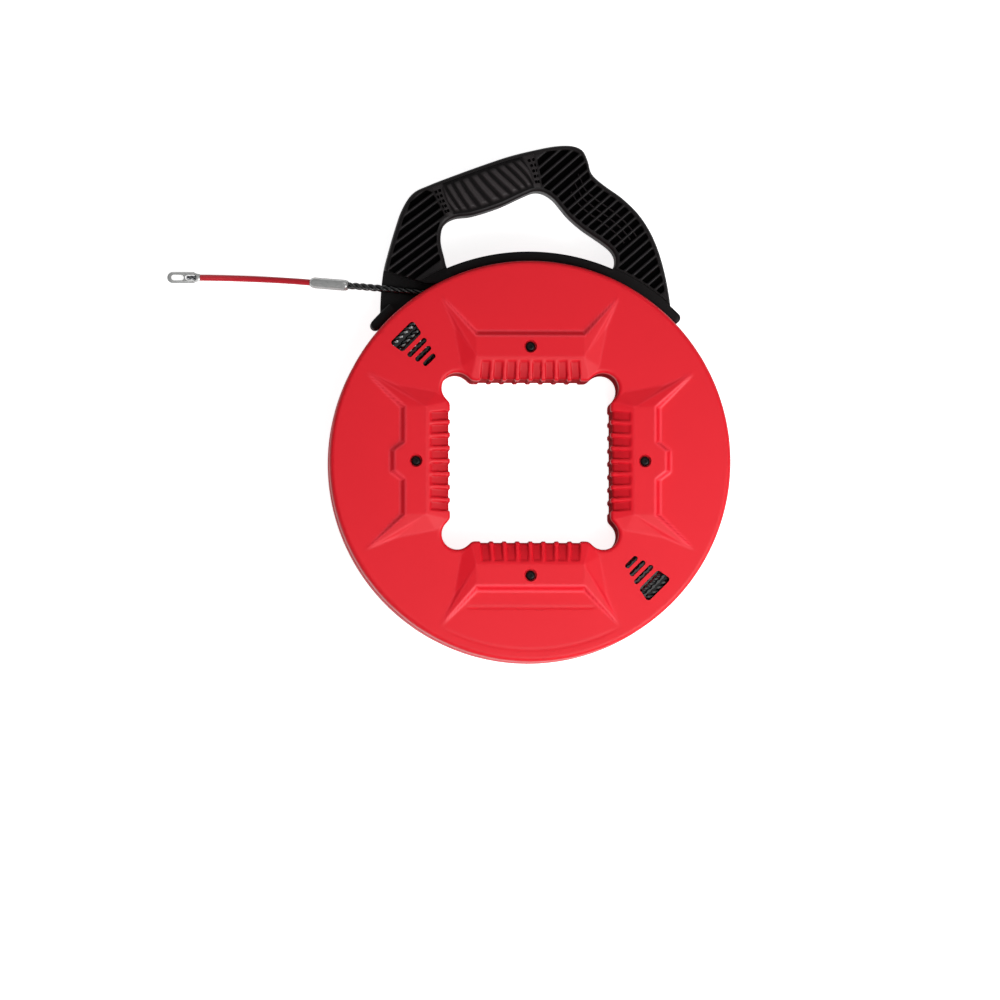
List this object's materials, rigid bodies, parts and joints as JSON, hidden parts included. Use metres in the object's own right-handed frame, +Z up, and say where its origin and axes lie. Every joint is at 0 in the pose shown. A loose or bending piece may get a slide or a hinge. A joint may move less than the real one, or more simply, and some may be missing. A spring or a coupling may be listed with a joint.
{
  "type": "fish tape reel",
  "caption": "Hand reel for pulling wire through conduit: a round case holds coiled tape and spins under a carrying handle; the tape ends in a leader and pull eye.",
  "frame": {"origin": "on the case's spin axis, in the plane of the back pads that the reel lies on", "axes": "+Z up along the spin axis to the front face, +Y from the hub to the handle, +X to the side away from the tape's end"},
  "size_m": [0.4275, 0.3938, 0.066],
  "materials": {
    "red_shell": "fine moulded texture, satin",
    "black_nylon": "moulded satin",
    "soft_grip": "matt overmould",
    "slide_nylon": "smooth, self-lubricating",
    "tape": "twisted polyester, semi-gloss",
    "leader_red": "smooth extruded jacket",
    "fitting_steel": "satin, turned",
    "cable_steel": "stranded wire",
    "black_screw": "black oxide",
    "plated_screw": "zinc plated"
  },
  "bodies": {
    "handle": {"handle_front": "black_nylon", "handle_back": "black_nylon", "handle_screws": "black_screw", "grip_front": "soft_grip", "grip_back": "soft_grip", "slide_rail": "slide_nylon", "end_shoe": "slide_nylon", "saddle_screws": "black_screw", "tape_run": "tape", "tape_tail": "tape", "ferrule": "fitting_steel", "leader": "leader_red", "leader_core": "cable_steel", "pull_eye": "fitting_steel"},
    "reel": {"case_front": "red_shell", "case_back": "red_shell", "case_screws": "black_screw", "tape_coil": "tape", "tape_inner_end": "tape", "tape_clip": "plated_screw", "clip_screws": "plated_screw"}
  },
  "joints": [
    {"name": "reel_spin", "type": "hinge", "parent": "handle", "child": "reel", "pos_m": [0, 0, 0.033], "axis": [0, 0, 1], "continuous": true}
  ]
}
